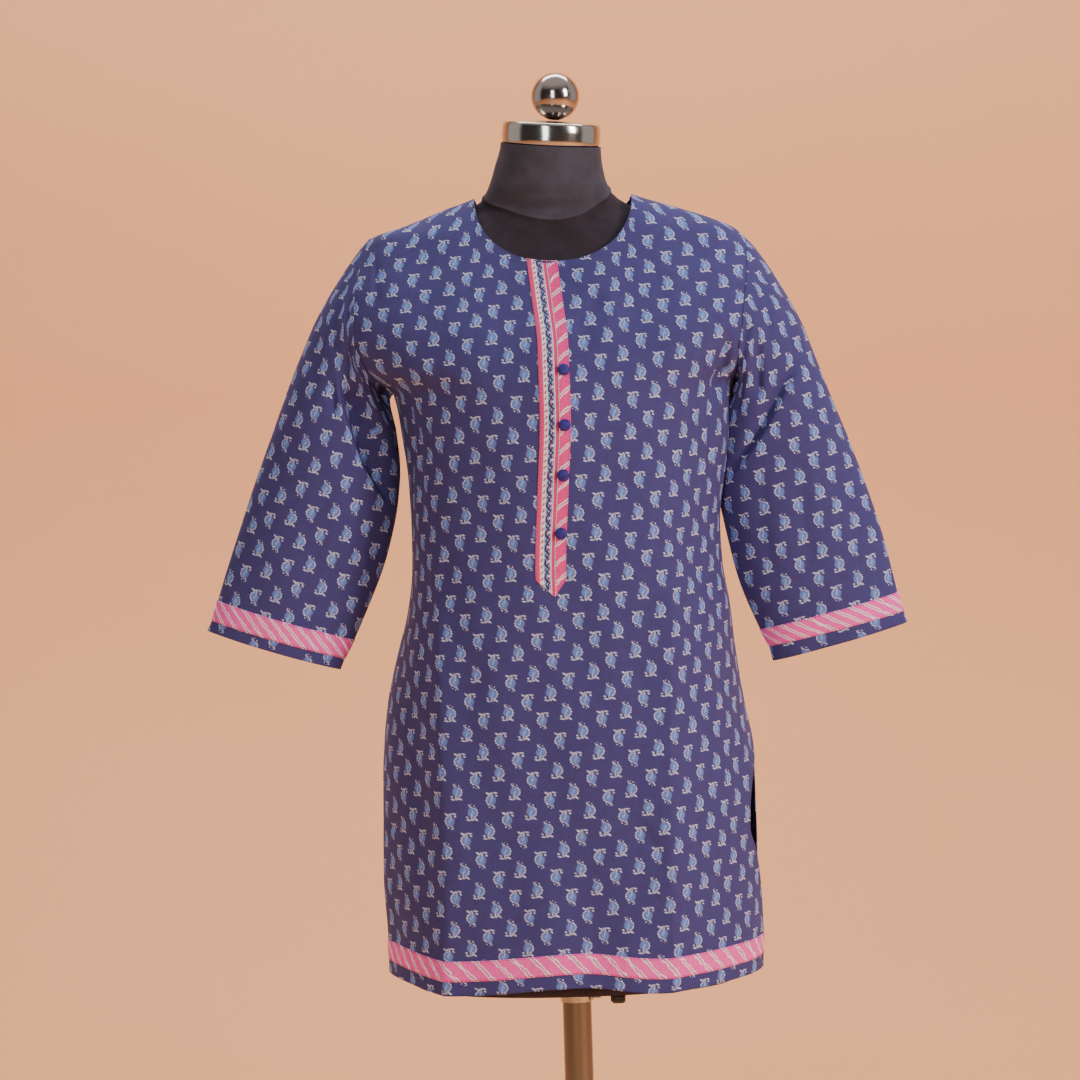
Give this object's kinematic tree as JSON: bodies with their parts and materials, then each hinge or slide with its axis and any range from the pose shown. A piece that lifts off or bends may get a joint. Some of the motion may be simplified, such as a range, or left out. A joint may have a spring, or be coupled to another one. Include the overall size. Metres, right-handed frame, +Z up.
{
  "type": "kurta tunic on dress form",
  "caption": "Short block-print cotton kurta with round neck, buttoned placket, wide sleeves, banded hem and side slits, on a limbless dress form and stand.",
  "frame": {"origin": "centre of the base's underside, on the axis of the pole", "axes": "+Z up along the pole, -Y towards the kurta's front, +X towards the right of the front view"},
  "size_m": [0.7, 0.36, 1.5606],
  "materials": {
    "kurta_cotton": "block-printed plain-weave cotton, indigo ground",
    "wave_print": "pink plain-weave cotton with white slanting lines",
    "border_print": "plain-weave cotton, striped border print",
    "button_cloth": "fabric-covered",
    "form_jersey": "matte black jersey",
    "polished_steel": "polished",
    "chrome_tube": "mirror chrome",
    "black_knob": "satin moulded"
  },
  "bodies": {
    "base": {"base": "polished_steel"},
    "pole": {"pole": "chrome_tube"},
    "form": {"front_panel": "kurta_cotton", "back_panel": "kurta_cotton", "sleeve_left": "kurta_cotton", "sleeve_right": "kurta_cotton", "hem_band_front": "wave_print", "hem_band_back": "wave_print", "cuff_band_left": "wave_print", "cuff_band_right": "wave_print", "placket_band": "wave_print", "placket_border": "border_print", "button_1": "button_cloth", "button_2": "button_cloth", "button_3": "button_cloth", "button_4": "button_cloth", "form_body": "form_jersey", "neck_cap": "polished_steel", "finial": "polished_steel", "collar": "polished_steel"},
    "screw": {"thumb_screw": "black_knob"}
  },
  "joints": [
    {"name": "turn", "type": "hinge", "parent": "base", "child": "pole", "pos_m": [0, 0, 0.02], "axis": [0, 0, 1], "continuous": true},
    {"name": "height", "type": "slide", "parent": "pole", "child": "form", "axis": [0, 0, 1], "range_m": [-0.1, 0.2]},
    {"name": "screw_turn", "type": "hinge", "parent": "form", "child": "screw", "pos_m": [0.034, 0, 0.6385], "axis": [1, 0, 0], "continuous": true}
  ]
}
